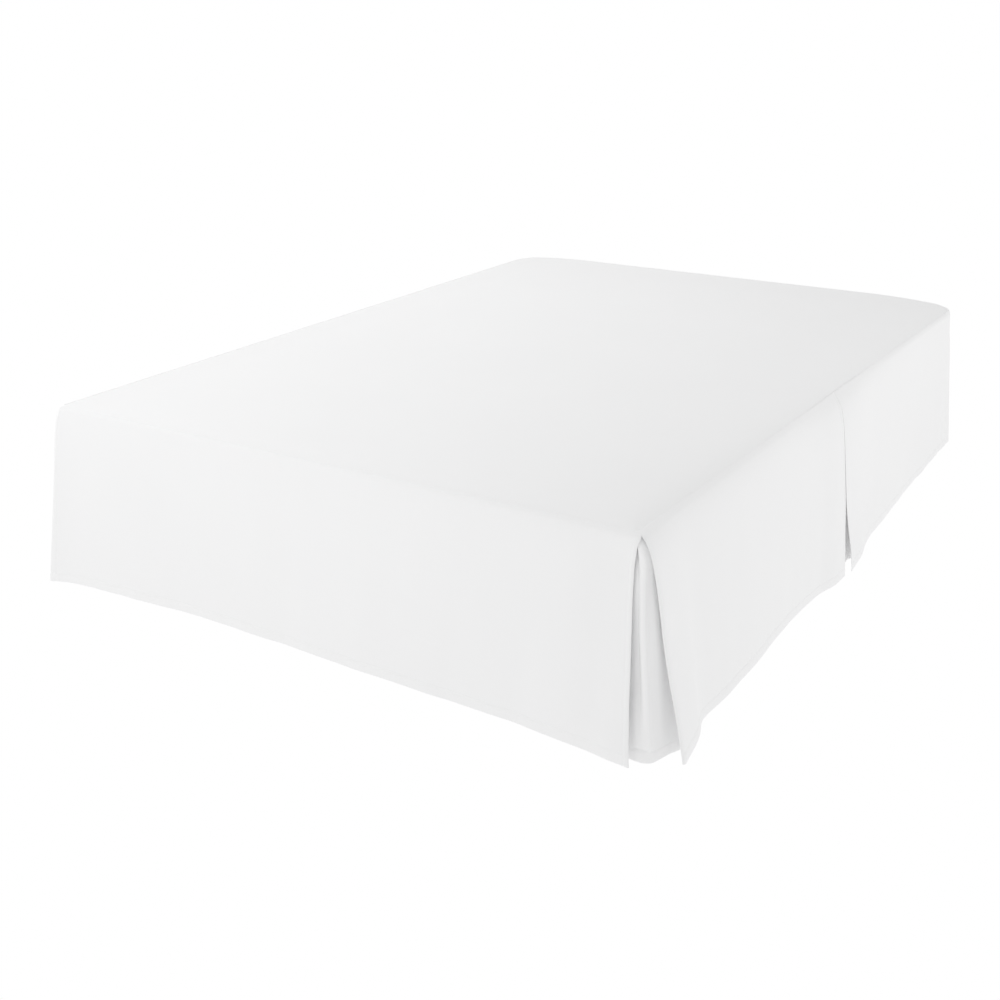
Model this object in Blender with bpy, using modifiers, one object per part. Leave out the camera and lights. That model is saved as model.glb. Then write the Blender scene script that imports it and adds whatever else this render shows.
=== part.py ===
"""Tailored bed skirt for a double bed, hanging on a plain box spring on six legs.

World frame: metres, +Z up, floor at z = 0, head of the bed towards +Y, foot towards -Y.
A place along the rim of the skirt is one number q, measured as if every corner were
square: 0 at the right foot corner, growing along the right side to the head and falling
along the foot to the left side.
"""
import bpy
import bmesh
from math import cos, exp, hypot, pi, radians, sin
from mathutils import Vector

# ---------------------------------------------------------------- driving dimensions (m)
BED_W = 1.372            # across the skirt at the top seam
BED_L = 1.905            # along the skirt at the top seam
BED_X, BED_Y = -0.012, -0.010   # middle of the bed, so the whole part is centred on the origin
DECK_Z = 0.413           # height of the deck's edge
CROWN = 0.012            # how much the middle of the deck stands above its edge
CROWN_RUN = 0.240        # distance from the edge over which the crown rises
HEM_Z = 0.007            # bottom of the drops
INSERT_HEM_Z = 0.012     # bottom of the underlays, a little shorter than the drops
CLOTH = 0.0015           # thickness of every sheet
SEAM_GAP = 0.0005        # between one sheet and the next
FOOT_R = 0.012           # plan radius of the foot corners
HEAD_R = 0.062           # plan radius of the head corners
SHOULDER_R = 0.016       # where the drops turn over the edge
SEAM_ANGLE = 25.0        # how far down the shoulder the seam lies, degrees from the top
HEAD_RETURN = 0.110      # how far the side drops run on past the square head corner
SPLIT = 0.951            # place of the side split, from the foot corner

BOX_INSET = 0.008        # box spring inside the skirt
BOX_CORNER_R = 0.045
BOX_EDGE_R = 0.016
BOX_BOTTOM = 0.180
BOX_CLEAR = 0.0025       # box spring below the cloth that lies on it
LEG_R, LEG_FOOT_R = 0.026, 0.021
LEG_INSET_X, LEG_INSET_Y = 0.075, 0.110

# Hem of each drop.  at: place along its side from the foot corner (or, on the foot, from
# the left corner).  shift: how far the hem has slid along the side.  out: how far it
# stands away from the bed.
HEM_COLUMNS = ("at", "shift", "out")
FOOT_HEM = (
    (0.000, -0.054, 0.046),
    (0.030, -0.037, 0.029),
    (0.060, -0.028, 0.022),
    (0.190, -0.015, 0.015),
    (0.360, -0.005, 0.005),
    (0.560,  0.000, 0.010),
    (0.860,  0.000, 0.023),
    (1.080,  0.002, 0.029),
    (1.200,  0.006, 0.036),
    (1.300,  0.014, 0.049),
    (1.340,  0.019, 0.056),
    (1.372,  0.029, 0.060),
)
RIGHT_FOOT_HEM = (
    (0.000, -0.005, 0.104),
    (0.030,  0.001, 0.099),
    (0.060,  0.005, 0.093),
    (0.100,  0.002, 0.083),
    (0.155,  0.000, 0.066),
    (0.230, -0.002, 0.067),
    (0.400, -0.010, 0.064),
    (0.600, -0.018, 0.053),
    (0.740, -0.026, 0.052),
    (0.820, -0.032, 0.057),
    (0.885, -0.038, 0.069),
    (0.951, -0.045, 0.071),
)
RIGHT_HEAD_HEM = (
    (0.951, -0.015, 0.073),
    (1.050, -0.012, 0.063),
    (1.145, -0.008, 0.045),
    (1.260, -0.004, 0.037),
    (1.410,  0.000, 0.029),
    (1.580,  0.000, 0.018),
    (1.750,  0.010, 0.010),
    (1.843,  0.040, 0.006),
    (1.905,  0.040, 0.070),
    (1.967, -0.010, 0.075),
    (2.015, -0.004, 0.070),
)
LEFT_FOOT_HEM = (
    (0.000, -0.008, 0.044),
    (0.060, -0.002, 0.038),
    (0.200,  0.000, 0.030),
    (0.420, -0.004, 0.034),
    (0.640, -0.010, 0.046),
    (0.820, -0.018, 0.058),
    (0.951, -0.026, 0.070),
)
LEFT_HEAD_HEM = (
    (0.951,  0.010, 0.072),
    (1.080,  0.004, 0.056),
    (1.260,  0.000, 0.040),
    (1.460,  0.000, 0.028),
    (1.680,  0.002, 0.020),
    (1.843,  0.030, 0.014),
    (1.905,  0.030, 0.064),
    (1.967, -0.010, 0.072),
    (2.015, -0.004, 0.066),
)
# Hem of the underlay of a split corner, x and y from the square corner, x away from the
# bed's side and y towards the head.  at: place along the rim, below 0 on the foot.
CORNER_COLUMNS = ("at", "x", "y")
RIGHT_CORNER_HEM = (
    (-0.110, -0.085, -0.024),
    (-0.070, -0.042, -0.029),
    (-0.035,  0.000, -0.036),
    (-0.012,  0.034, -0.040),
    ( 0.000,  0.053, -0.030),
    ( 0.012,  0.062, -0.010),
    ( 0.040,  0.070,  0.022),
    ( 0.075,  0.068,  0.072),
    ( 0.120,  0.054,  0.125),
)
LEFT_CORNER_HEM = (
    (-0.110, -0.100, -0.006),
    (-0.060, -0.050, -0.012),
    (-0.025, -0.006, -0.024),
    ( 0.000,  0.020, -0.022),
    ( 0.025,  0.029,  0.000),
    ( 0.060,  0.027,  0.050),
    ( 0.120,  0.022,  0.120),
)
# Underlay of a side split: how far its hem stands out at each place along the side.
PLEAT_REACH = 0.085      # to either side of the split
RIGHT_PLEAT_OUT, LEFT_PLEAT_OUT = 0.056, 0.054

# Rows of every drop, from the shoulder's foot to the hem, as shares of the height.
DROP_ROWS = (0.05, 0.12, 0.21, 0.32, 0.45, 0.59, 0.73, 0.87, 1.0)
INSERT_ROWS = (0.06, 0.16, 0.30, 0.46, 0.64, 0.82, 1.0)
SHOULDER_STEPS = 3

WHITE_COTTON = ("white cotton", (0.86, 0.86, 0.86), 0.90)
GREY_TICKING = ("box spring ticking", (0.62, 0.61, 0.58), 0.92)
LEG_WOOD = ("leg wood", (0.20, 0.13, 0.08), 0.55)


# ---------------------------------------------------------------- scene
for old in list(bpy.data.objects):
    bpy.data.objects.remove(old, do_unlink=True)
parts = bpy.data.collections.new("bed_skirt")
bpy.context.scene.collection.children.link(parts)


def material(spec):
    name, colour, roughness = spec
    found = bpy.data.materials.get(name)
    if found:
        return found
    made = bpy.data.materials.new(name)
    made.use_nodes = True
    shader = made.node_tree.nodes["Principled BSDF"]
    shader.inputs["Base Color"].default_value = (*colour, 1.0)
    shader.inputs["Roughness"].default_value = roughness
    shader.inputs["Metallic"].default_value = 0.0
    return made


def add(name, bm, spec):
    """Put a bmesh in the part's collection as one named object."""
    mesh = bpy.data.meshes.new(name)
    bm.to_mesh(mesh)
    bm.free()
    mesh.materials.append(material(spec))
    obj = bpy.data.objects.new(name, mesh)
    obj.location = (BED_X, BED_Y, 0.0)
    parts.objects.link(obj)
    mesh.shade_smooth()
    mesh.set_sharp_from_angle(angle=radians(40))
    return obj


# ---------------------------------------------------------------- curves
def read(table, at):
    """Smooth reading of a table at one place: each column after the first, by cubic
    pieces whose slopes come from the rows on either side."""
    rows = table
    at = min(max(at, rows[0][0]), rows[-1][0])
    i = 0
    while i < len(rows) - 2 and at > rows[i + 1][0]:
        i += 1
    a, b = rows[i], rows[i + 1]
    before, after = rows[max(i - 1, 0)], rows[min(i + 2, len(rows) - 1)]
    span = b[0] - a[0]
    t = (at - a[0]) / span
    out = []
    for c in range(1, len(a)):
        slope_a = (b[c] - before[c]) / (b[0] - before[0]) * span
        slope_b = (after[c] - a[c]) / (after[0] - a[0]) * span
        out.append(
            (2 * t**3 - 3 * t**2 + 1) * a[c]
            + (t**3 - 2 * t**2 + t) * slope_a
            + (3 * t**2 - 2 * t**3) * b[c]
            + (t**3 - t**2) * slope_b
        )
    return out


SIDES = (  # start of q, length, corner it starts at, direction, outward normal, radii
    (0.0, BED_L, (BED_W / 2, -BED_L / 2), (0, 1), (1, 0), FOOT_R, HEAD_R),
    (BED_L, BED_W, (BED_W / 2, BED_L / 2), (-1, 0), (0, 1), HEAD_R, HEAD_R),
    (-BED_W - BED_L, BED_L, (-BED_W / 2, BED_L / 2), (0, -1), (-1, 0), HEAD_R, FOOT_R),
    (-BED_W, BED_W, (-BED_W / 2, -BED_L / 2), (1, 0), (0, -1), FOOT_R, FOOT_R),
    (-2 * BED_W - BED_L, BED_W, (BED_W / 2, BED_L / 2), (-1, 0), (0, 1), HEAD_R, HEAD_R),
)


def rim(q, inset=0.0):
    """Point, outward normal and direction of the rounded rim at place q."""
    for start, length, corner, along, normal, r_start, r_end in SIDES:
        if start <= q <= start + length:
            break
    s = q - start
    c, d, n = Vector(corner), Vector(along), Vector(normal)
    if s < r_start:
        a = pi / 4 * (1 - s / r_start)
        turned = n * cos(a) - d * sin(a)
        centre = c + d * r_start - n * r_start
        point = centre + turned * (r_start - inset)
    elif s > length - r_end:
        a = pi / 4 * (1 - (length - s) / r_end)
        turned = n * cos(a) + d * sin(a)
        centre = c + d * (length - r_end) - n * r_end
        point = centre + turned * (r_end - inset)
    else:
        turned = n
        point = c + d * s - n * inset
    return point, turned, Vector((-turned.y, turned.x))


def fall(t):
    """Share of its flare that a hanging edge has reached at depth t: it steps off the
    shoulder quickly, then leans out evenly to the hem."""
    step = 0.24 * (1 - exp(-t / 0.055))
    return (step + 0.76 * max(t, 0.0) ** 1.15) / (0.24 + 0.76)


def profile(hem_z, rows, inset):
    """Shoulder and drop as (outward, height, share of the height)."""
    radius = SHOULDER_R - inset
    depth = DECK_Z - hem_z
    points = []
    for k in range(SHOULDER_STEPS + 1):
        a = radians(SEAM_ANGLE + (90 - SEAM_ANGLE) * k / SHOULDER_STEPS)
        points.append((-SHOULDER_R + radius * sin(a), DECK_Z - SHOULDER_R + radius * cos(a)))
    for w in rows:
        points.append((-inset, DECK_Z - SHOULDER_R - (depth - SHOULDER_R) * w))
    return [(s, z, (DECK_Z - z) / depth) for s, z in points]


def places(start, end, steps, fine):
    """Columns along a drop: even ones, and finer ones where the rim turns a corner."""
    every = [start + (end - start) * i / steps for i in range(1, steps)]
    kept = [q for q in every if all(abs(q - f) > 0.018 for f in fine)]
    return sorted([start, end] + kept + [f for f in fine if start < f < end])


def sheet(name, columns, section, flare, inset):
    """A hanging sheet: a grid of columns along the rim by rows down the section, each
    row moved out by its share of the flare, then given the cloth's thickness inwards."""
    bm = bmesh.new()
    bmesh.ops.create_grid(
        bm, x_segments=len(columns) - 1, y_segments=len(section) - 1, size=0.5
    )
    first = fall(section[0][2])
    for v in bm.verts:
        i = round((v.co.x + 0.5) * (len(columns) - 1))
        j = round((0.5 - v.co.y) * (len(section) - 1))
        q = columns[i]
        out, z, t = section[j]
        point, normal, _ = rim(q, 0.0)
        move = flare(q) * ((fall(t) - first) / (1 - first))
        at = point + normal * out + move
        v.co = (at.x, at.y, z)
    bmesh.ops.recalc_face_normals(bm, faces=bm.faces)
    middle = bm.faces[len(bm.faces) // 2] if bm.faces.ensure_lookup_table() is None else None
    q_mid = columns[len(columns) // 2]
    outward = rim(q_mid)[1]
    bm.normal_update()
    if middle.normal.xy.dot(outward) < 0:
        bmesh.ops.reverse_faces(bm, faces=bm.faces)
    obj = add(name, bm, WHITE_COTTON)
    shell = obj.modifiers.new("cloth", "SOLIDIFY")
    shell.thickness = CLOTH
    shell.offset = -1.0
    shell.use_even_offset = True
    return obj


# ---------------------------------------------------------------- drops
def side_flare(table, start, sign, wrap_from):
    """Flare of a drop, from its hem table.  sign is -1 where q runs against the table's
    own direction.  Past wrap_from the flare follows the rounded head corner."""
    def flare(q):
        at = (q - start) * sign
        shift, out = read(table, at)
        if wrap_from is not None and at > wrap_from:
            _, normal, along = rim(q)
        else:
            _, normal, along = rim(start + sign * min(max(at, 0.2), BED_W - 0.2))
        return along * (shift * sign) + normal * out
    return flare


HALF = 0.0008            # half the gap where two panels meet edge to edge
drop = profile(HEM_Z, DROP_ROWS, 0.0)

sheet(
    "foot_drop",
    places(-BED_W + HALF, -HALF, 24, (-BED_W + FOOT_R / 2, -BED_W + FOOT_R, -FOOT_R, -FOOT_R / 2)),
    drop,
    side_flare(FOOT_HEM, -BED_W, 1, None),
    0.0,
)
sheet(
    "right_drop_foot",
    places(HALF, SPLIT - HALF, 15, (FOOT_R / 2, FOOT_R)),
    drop,
    side_flare(RIGHT_FOOT_HEM, 0.0, 1, None),
    0.0,
)
HEAD_TURN = tuple(BED_L + HEAD_R * k / 2 for k in (-2, -1, 0, 1, 2))
sheet(
    "right_drop_head",
    places(SPLIT + HALF, BED_L + HEAD_RETURN, 15, HEAD_TURN),
    drop,
    side_flare(RIGHT_HEAD_HEM, 0.0, 1, BED_L - HEAD_R),
    0.0,
)
LEFT = -BED_W            # q of the left foot corner; the left side runs on below it
sheet(
    "left_drop_foot",
    places(LEFT - SPLIT + HALF, LEFT - HALF, 15, (LEFT - FOOT_R, LEFT - FOOT_R / 2)),
    drop,
    side_flare(LEFT_FOOT_HEM, LEFT, -1, None),
    0.0,
)
sheet(
    "left_drop_head",
    places(LEFT - BED_L - HEAD_RETURN, LEFT - SPLIT - HALF, 15,
           tuple(LEFT - q for q in HEAD_TURN)),
    drop,
    side_flare(LEFT_HEAD_HEM, LEFT, -1, BED_L - HEAD_R),
    0.0,
)

# ---------------------------------------------------------------- underlays
UNDER = CLOTH + 0.0015   # an underlay's outer face, inside the drop's outer face
under = profile(INSERT_HEM_Z, INSERT_ROWS, UNDER)


def corner_flare(table, corner, sign):
    """Flare of a corner underlay: sign is 1 at the right corner and -1 at the left."""
    def flare(q):
        at = (q - corner) * sign
        x, y = read(table, at)
        foot = Vector((sign * BED_W / 2 + sign * x, -BED_L / 2 + y))
        point, normal, _ = rim(q)
        return foot - (point - normal * UNDER)
    return flare


def under_columns(corner, sign, reach_foot, reach_side):
    ats = (-reach_foot, -0.080, -0.052, -0.030, -FOOT_R, -FOOT_R / 2, 0.0,
           FOOT_R / 2, FOOT_R, 0.030, 0.052, 0.085, reach_side)
    return sorted(corner + sign * at for at in ats)


sheet("right_corner_insert", under_columns(0.0, 1, 0.110, 0.120), under,
      corner_flare(RIGHT_CORNER_HEM, 0.0, 1), UNDER)
sheet("left_corner_insert", under_columns(LEFT, -1, 0.110, 0.120), under,
      corner_flare(LEFT_CORNER_HEM, LEFT, -1), UNDER)


def pleat_flare(out):
    def flare(q):
        return rim(q)[1] * out
    return flare


def pleat_columns(middle):
    return [middle + PLEAT_REACH * k / 2 for k in (-2, -1, 0, 1, 2)]


sheet("right_pleat_insert", pleat_columns(SPLIT - 0.012), under,
      pleat_flare(RIGHT_PLEAT_OUT), UNDER)
sheet("left_pleat_insert", pleat_columns(LEFT - SPLIT), under,
      pleat_flare(LEFT_PLEAT_OUT), UNDER)


# ---------------------------------------------------------------- deck
def crown(distance):
    """Height above the edge at this distance in from the deck's outline."""
    t = min(max(distance / CROWN_RUN, 0.0), 1.0)
    return CROWN * (1 - (1 - t) ** 2)


seam_in = SHOULDER_R * (1 - sin(radians(SEAM_ANGLE))) + 3 * SEAM_GAP
seam_drop = SHOULDER_R * (1 - cos(radians(SEAM_ANGLE)))


def rounded(x, y, half_x, half_y, r_foot, r_head):
    """Move a point of a square-cornered grid on to the rounded outline."""
    r = r_foot if y < 0 else r_head
    cx, cy = half_x - r, half_y - r
    dx, dy = abs(x) - cx, abs(y) - cy
    if dx <= 0 or dy <= 0:
        return x, y
    scale = max(dx, dy) / hypot(dx, dy)
    return (
        (cx + dx * scale) * (1 if x > 0 else -1),
        (cy + dy * scale) * (1 if y > 0 else -1),
    )


DECK_LINES = (0.0, 0.007, 0.014, 0.039, 0.085, 0.150, CROWN_RUN)
BOX_LINES = (0.0, 0.003, 0.009, BOX_EDGE_R, BOX_CORNER_R, 0.085, 0.150, CROWN_RUN)


def lines(half, steps, edge):
    """Grid lines across a top: close together by the edges, even between."""
    inner = half - CROWN_RUN
    return (
        [-half + e for e in edge]
        + [-inner + 2 * inner * k / steps for k in range(1, steps)]
        + [half - e for e in reversed(edge)]
    )


def top_distance(x, y, half_x, half_y):
    """Distance in from the sides and the foot.  The head end, where nothing is sewn on,
    holds no edge down, so the crown runs out to it."""
    return min(half_x - abs(x), half_y + y)


def deck_height(x, y, half_x, half_y):
    lip = seam_drop * max(0.0, 1 - min(half_x - abs(x), half_y - abs(y)) / 0.030) ** 2
    return DECK_Z + crown(top_distance(x, y, half_x, half_y)) - lip


half_x, half_y = BED_W / 2 - seam_in, BED_L / 2 - seam_in
xs, ys = lines(half_x, 2, DECK_LINES), lines(half_y, 3, DECK_LINES)
bm = bmesh.new()
bmesh.ops.create_grid(bm, x_segments=len(xs) - 1, y_segments=len(ys) - 1, size=0.5)
for v in bm.verts:
    x = xs[round((v.co.x + 0.5) * (len(xs) - 1))]
    y = ys[round((v.co.y + 0.5) * (len(ys) - 1))]
    z = deck_height(x, y, half_x, half_y)
    v.co = (*rounded(x, y, half_x, half_y, FOOT_R - seam_in, HEAD_R - seam_in), z)
bmesh.ops.recalc_face_normals(bm, faces=bm.faces)
bm.normal_update()
if sum(f.normal.z for f in bm.faces) < 0:
    bmesh.ops.reverse_faces(bm, faces=bm.faces)
deck = add("deck", bm, WHITE_COTTON)
shell = deck.modifiers.new("cloth", "SOLIDIFY")
shell.thickness = CLOTH
shell.offset = -1.0

# ---------------------------------------------------------------- box spring and legs
box_w, box_l = BED_W - 2 * BOX_INSET, BED_L - 2 * BOX_INSET
box_top = DECK_Z - CLOTH - BOX_CLEAR - 0.0015
bm = bmesh.new()
xs = lines(box_w / 2, 2, BOX_LINES)
ys = lines(box_l / 2, 3, BOX_LINES)
bmesh.ops.create_grid(bm, x_segments=len(xs) - 1, y_segments=len(ys) - 1, size=0.5)
for v in bm.verts:
    x = xs[round((v.co.x + 0.5) * (len(xs) - 1))]
    y = ys[round((v.co.y + 0.5) * (len(ys) - 1))]
    distance = min(box_w / 2 - abs(x), box_l / 2 - abs(y))
    rise = crown(top_distance(x, y, box_w / 2, box_l / 2) + BOX_INSET - seam_in)
    x, y = rounded(x, y, box_w / 2, box_l / 2, BOX_CORNER_R, BOX_CORNER_R)
    share = max(0.0, 1 - distance / BOX_EDGE_R)
    turn = BOX_EDGE_R * (1 - (1 - share * share) ** 0.5)
    v.co = (x, y, box_top + rise - turn)
outline = [e for e in bm.edges if e.is_boundary]
side = bmesh.ops.extrude_edge_only(bm, edges=outline)["geom"]
for v in side:
    if isinstance(v, bmesh.types.BMVert):
        v.co.z = BOX_BOTTOM
bmesh.ops.holes_fill(bm, edges=[e for e in bm.edges if e.is_boundary], sides=0)
bmesh.ops.recalc_face_normals(bm, faces=bm.faces)
add("box_spring", bm, GREY_TICKING)

LEGS = (
    ("leg_foot_right", 1, -1), ("leg_foot_left", -1, -1),
    ("leg_middle_right", 1, 0), ("leg_middle_left", -1, 0),
    ("leg_head_right", 1, 1), ("leg_head_left", -1, 1),
)
leg_h = BOX_BOTTOM - 0.0003
for name, side, end in LEGS:
    bm = bmesh.new()
    bmesh.ops.create_cone(bm, cap_ends=True, segments=24, radius1=LEG_FOOT_R,
                          radius2=LEG_R, depth=leg_h)
    bmesh.ops.translate(bm, verts=bm.verts, vec=(
        side * (box_w / 2 - LEG_INSET_X), end * (box_l / 2 - LEG_INSET_Y), leg_h / 2))
    add(name, bm, LEG_WOOD)
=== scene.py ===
"""Looks of the tailored bed skirt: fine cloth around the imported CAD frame.

Metres, +Z up, floor at z = 0, head of the bed towards +Y.  The skirt's own frame has its
origin under the middle of the bed; BED puts it into the row frame.
A place along the rim is one number q, measured as if every corner were square: 0 at the
right foot corner, growing along the right side to the head and falling along the foot.
"""

from math import cos, exp, hypot, pi, radians, sin

import bpy
import numpy as np
from mathutils import Matrix, Vector


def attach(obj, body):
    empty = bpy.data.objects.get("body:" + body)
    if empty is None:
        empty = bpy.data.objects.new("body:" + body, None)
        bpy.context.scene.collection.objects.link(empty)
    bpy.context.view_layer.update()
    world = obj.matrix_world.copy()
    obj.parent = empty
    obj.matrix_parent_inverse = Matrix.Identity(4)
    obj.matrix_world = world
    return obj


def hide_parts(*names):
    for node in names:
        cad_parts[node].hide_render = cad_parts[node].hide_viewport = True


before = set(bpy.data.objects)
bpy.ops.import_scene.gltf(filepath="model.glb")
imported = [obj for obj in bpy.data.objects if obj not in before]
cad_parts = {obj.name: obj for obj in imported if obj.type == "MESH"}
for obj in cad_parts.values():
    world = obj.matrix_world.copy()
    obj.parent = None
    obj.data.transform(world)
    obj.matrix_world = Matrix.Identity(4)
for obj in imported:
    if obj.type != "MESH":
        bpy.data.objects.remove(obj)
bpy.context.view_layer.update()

# ---------------------------------------------------------------- sizes of the frame (m)
BED_W, BED_L = 1.372, 1.905
BED = np.array((-0.012, -0.010, 0.0))
DECK_Z = 0.413
CROWN, CROWN_RUN = 0.012, 0.240
HEM_Z, INSERT_HEM_Z = 0.007, 0.012
CLOTH = 0.0009           # one layer
HEM_CLOTH = 0.0016       # turned hem
FOOT_R, HEAD_R = 0.012, 0.062
SHOULDER_R = 0.016
HEAD_RETURN = 0.110
SPLIT = 0.951
HALF = 0.0008
UNDER = 0.0030           # an underlay's face inside the drop's face
BOX_INSET, BOX_CORNER_R, BOX_EDGE_R = 0.008, 0.057, 0.016
BOX_BOTTOM = 0.180
BOX_TOP = DECK_Z - 0.0015 - 0.0025 - 0.0015
LEG_R, LEG_FOOT_R = 0.026, 0.021
LEG_INSET_X, LEG_INSET_Y = 0.075, 0.110

ROLL = 0.0011            # radius with which a drop turns down into the seam
ROLL_ANGLE = radians(46.0)
DECK_ROLL = 0.0013       # the same for the deck's edge
SEAM_GAP = 0.00010
BOTTOM_HEM = 0.019       # stitch line above the hem
SIDE_HEM = 0.0105        # stitch line in from a free edge

# Hem of each drop: at (place along its side), shift (slid along the side), out (away
# from the bed).
FOOT_HEM = (
    (0.000, -0.0512, 0.046),
    (0.030, -0.036, 0.029),
    (0.060, -0.0275, 0.022),
    (0.190, -0.015, 0.015),
    (0.360, -0.005, 0.005),
    (0.560,  0.000, 0.010),
    (0.860,  0.000, 0.023),
    (1.080,  0.002, 0.029),
    (1.200,  0.006, 0.036),
    (1.300,  0.014, 0.049),
    (1.340,  0.019, 0.056),
    (1.372,  0.029, 0.060),
)
RIGHT_FOOT_HEM = (
    (0.000, -0.005, 0.104),
    (0.030,  0.001, 0.099),
    (0.060,  0.005, 0.093),
    (0.100,  0.002, 0.083),
    (0.155,  0.000, 0.066),
    (0.230, -0.002, 0.067),
    (0.400, -0.010, 0.064),
    (0.600, -0.018, 0.053),
    (0.740, -0.026, 0.052),
    (0.820, -0.032, 0.057),
    (0.885, -0.038, 0.069),
    (0.951, -0.045, 0.071),
)
RIGHT_HEAD_HEM = (
    (0.951, -0.015, 0.073),
    (1.050, -0.012, 0.063),
    (1.145, -0.008, 0.045),
    (1.260, -0.004, 0.037),
    (1.410,  0.000, 0.029),
    (1.580,  0.000, 0.018),
    (1.750,  0.010, 0.010),
    (1.843,  0.040, 0.006),
    (1.905,  0.040, 0.070),
    (1.967, -0.010, 0.075),
    (2.015, -0.004, 0.070),
)
LEFT_FOOT_HEM = (
    (0.000, -0.008, 0.044),
    (0.060, -0.002, 0.038),
    (0.200,  0.000, 0.030),
    (0.420, -0.004, 0.034),
    (0.640, -0.010, 0.046),
    (0.820, -0.018, 0.058),
    (0.951, -0.026, 0.070),
)
LEFT_HEAD_HEM = (
    (0.951,  0.010, 0.072),
    (1.080,  0.004, 0.056),
    (1.260,  0.000, 0.040),
    (1.460,  0.000, 0.028),
    (1.680,  0.002, 0.020),
    (1.843,  0.030, 0.014),
    (1.905,  0.030, 0.064),
    (1.967, -0.010, 0.072),
    (2.015, -0.004, 0.066),
)
# Hem of a corner underlay, x and y from the square corner.
RIGHT_CORNER_HEM = (
    (-0.110, -0.085, -0.024),
    (-0.070, -0.042, -0.029),
    (-0.035,  0.000, -0.036),
    (-0.012,  0.036, -0.041),
    ( 0.000,  0.055, -0.033),
    ( 0.012,  0.063, -0.010),
    ( 0.028,  0.069,  0.012),
    ( 0.042,  0.0745, 0.0255),
    ( 0.058,  0.0795, 0.041),
    ( 0.080,  0.076,  0.068),
    ( 0.120,  0.060,  0.112),
)
LEFT_CORNER_HEM = (
    (-0.110, -0.100, -0.006),
    (-0.060, -0.050, -0.012),
    (-0.025, -0.006, -0.024),
    ( 0.000,  0.020, -0.022),
    ( 0.025,  0.029,  0.000),
    ( 0.060,  0.027,  0.050),
    ( 0.120,  0.022,  0.120),
)
PLEAT_REACH = 0.085
RIGHT_PLEAT_OUT, LEFT_PLEAT_OUT = 0.056, 0.054
LEFT = -BED_W            # q of the left foot corner


# ---------------------------------------------------------------- curves
def read(table, at):
    """Smooth reading of a table at one place."""
    rows = table
    at = min(max(at, rows[0][0]), rows[-1][0])
    i = 0
    while i < len(rows) - 2 and at > rows[i + 1][0]:
        i += 1
    a, b = rows[i], rows[i + 1]
    before, after = rows[max(i - 1, 0)], rows[min(i + 2, len(rows) - 1)]
    span = b[0] - a[0]
    t = (at - a[0]) / span
    out = []
    for c in range(1, len(a)):
        slope_a = (b[c] - before[c]) / (b[0] - before[0]) * span
        slope_b = (after[c] - a[c]) / (after[0] - a[0]) * span
        out.append(
            (2 * t**3 - 3 * t**2 + 1) * a[c]
            + (t**3 - 2 * t**2 + t) * slope_a
            + (3 * t**2 - 2 * t**3) * b[c]
            + (t**3 - t**2) * slope_b
        )
    return out


SIDES = (  # start of q, length, corner it starts at, direction, outward normal, radii
    (0.0, BED_L, (BED_W / 2, -BED_L / 2), (0, 1), (1, 0), FOOT_R, HEAD_R),
    (BED_L, BED_W, (BED_W / 2, BED_L / 2), (-1, 0), (0, 1), HEAD_R, HEAD_R),
    (-BED_W - BED_L, BED_L, (-BED_W / 2, BED_L / 2), (0, -1), (-1, 0), HEAD_R, FOOT_R),
    (-BED_W, BED_W, (-BED_W / 2, -BED_L / 2), (1, 0), (0, -1), FOOT_R, FOOT_R),
    (-2 * BED_W - BED_L, BED_W, (BED_W / 2, BED_L / 2), (-1, 0), (0, 1), HEAD_R, HEAD_R),
)


def rim(q):
    """Point, outward normal and direction of the rounded rim at place q."""
    for start, length, corner, along, normal, r_start, r_end in SIDES:
        if start <= q <= start + length:
            break
    s = q - start
    c, d, n = Vector(corner), Vector(along), Vector(normal)
    if s < r_start:
        a = pi / 4 * (1 - s / r_start)
        turned = n * cos(a) - d * sin(a)
        point = c + d * r_start - n * r_start + turned * r_start
    elif s > length - r_end:
        a = pi / 4 * (1 - (length - s) / r_end)
        turned = n * cos(a) + d * sin(a)
        point = c + d * (length - r_end) - n * r_end + turned * r_end
    else:
        turned, point = n, c + d * s
    return point, turned, Vector((-turned.y, turned.x))


def fall(t):
    """Share of its flare that a hanging edge has reached at depth t."""
    step = 0.24 * (1 - np.exp(-t / 0.055))
    return step + 0.76 * np.maximum(t, 0.0) ** 1.15


def side_flare(table, start, sign, wrap_from):
    def flare(q):
        at = (q - start) * sign
        shift, out = read(table, at)
        if wrap_from is not None and at > wrap_from:
            _, normal, along = rim(q)
        else:
            _, normal, along = rim(start + sign * min(max(at, 0.2), BED_W - 0.2))
        return along * (shift * sign) + normal * out
    return flare


def corner_flare(table, corner, sign):
    def flare(q):
        x, y = read(table, (q - corner) * sign)
        foot = Vector((sign * BED_W / 2 + sign * x, -BED_L / 2 + y))
        point, normal, _ = rim(q)
        return foot - (point - normal * UNDER)
    return flare


def pleat_flare(out):
    def flare(q):
        return rim(q)[1] * out
    return flare


def ripple(x, seed, longest, shortest, count=7):
    """Uneven wave of unit size along x: sines of seeded lengths and phases."""
    rng = np.random.default_rng(seed)
    lengths = np.exp(rng.uniform(np.log(shortest), np.log(longest), count))
    phases = rng.uniform(0, 2 * pi, count)
    sizes = (lengths / longest) ** 0.6
    total = sum(s * np.sin(2 * pi * x / l + p) for s, l, p in zip(sizes, lengths, phases))
    return total / np.sqrt((sizes ** 2).sum() / 2) / 1.6


def bell(x, width):
    return np.exp(-(x / width) ** 2)


def soft(x, low, high):
    t = np.clip((x - low) / (high - low), 0, 1)
    return t * t * (3 - 2 * t)


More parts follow.
